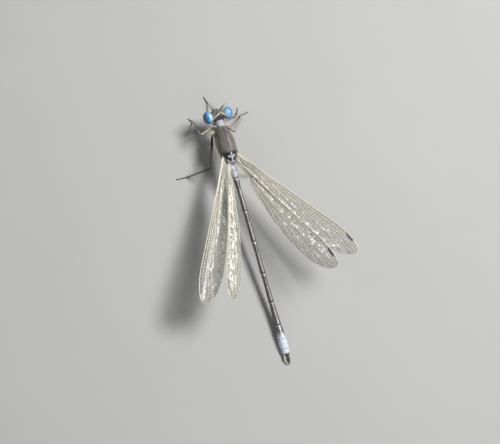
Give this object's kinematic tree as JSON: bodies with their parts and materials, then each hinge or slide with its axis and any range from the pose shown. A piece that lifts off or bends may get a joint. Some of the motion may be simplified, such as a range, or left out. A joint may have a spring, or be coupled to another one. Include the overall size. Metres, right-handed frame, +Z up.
{
  "type": "spreadwing damselfly",
  "caption": "Still life-size spreadwing damselfly with blue eyes, a long slim abdomen and clear wings held half open, resting on its feet and tail tip.",
  "frame": {"origin": "on the floor under the middle of the bounding box", "axes": "+Z up, +Y towards the tail, -Y towards the head, +X towards the insect's left side"},
  "size_m": [0.0252, 0.0432, 0.0127],
  "materials": {
    "head": "grey-taupe cuticle, satin, with a dark patch round the simple eyes",
    "eye": "sky blue compound eye with a pale upper rim and fine facets",
    "antenna": "dark brown bristle-like feeler",
    "pruinose": "cuticle with a pale blue-grey waxy bloom",
    "thorax": "taupe cuticle with pinkish-brown stripes, a faint metallic sheen and pale bloom below",
    "abdomen": "brown-black cuticle with a grey sheen and thin pale rings at its joints",
    "pincer": "tan horn",
    "wing": "clear membrane with cream veins and a dark wing spot",
    "leg": "tan outside, dark brown inside, with fine bristles"
  },
  "bodies": {
    "root": {"head": "head", "eye_left": "eye", "eye_right": "eye", "antenna_left": "antenna", "antenna_right": "antenna", "prothorax": "pruinose", "thorax": "thorax", "abdomen_1": "pruinose", "abdomen_2": "pruinose", "abdomen_3": "abdomen", "abdomen_4": "abdomen", "abdomen_5": "abdomen", "abdomen_6": "abdomen", "abdomen_7": "abdomen", "abdomen_8": "pruinose", "abdomen_9": "pruinose", "abdomen_10": "pruinose", "cercus_left": "pincer", "cercus_right": "pincer", "forewing_left": "wing", "forewing_right": "wing", "hindwing_left": "wing", "hindwing_right": "wing", "fore_left_femur": "leg", "fore_left_tibia": "leg", "fore_left_tarsus": "leg", "fore_right_femur": "leg", "fore_right_tibia": "leg", "fore_right_tarsus": "leg", "mid_left_femur": "leg", "mid_left_tibia": "leg", "mid_left_tarsus": "leg", "mid_right_femur": "leg", "mid_right_tibia": "leg", "mid_right_tarsus": "leg", "hind_left_femur": "leg", "hind_left_tibia": "leg", "hind_left_tarsus": "leg", "hind_right_femur": "leg", "hind_right_tibia": "leg", "hind_right_tarsus": "leg"}
  },
  "joints": []
}
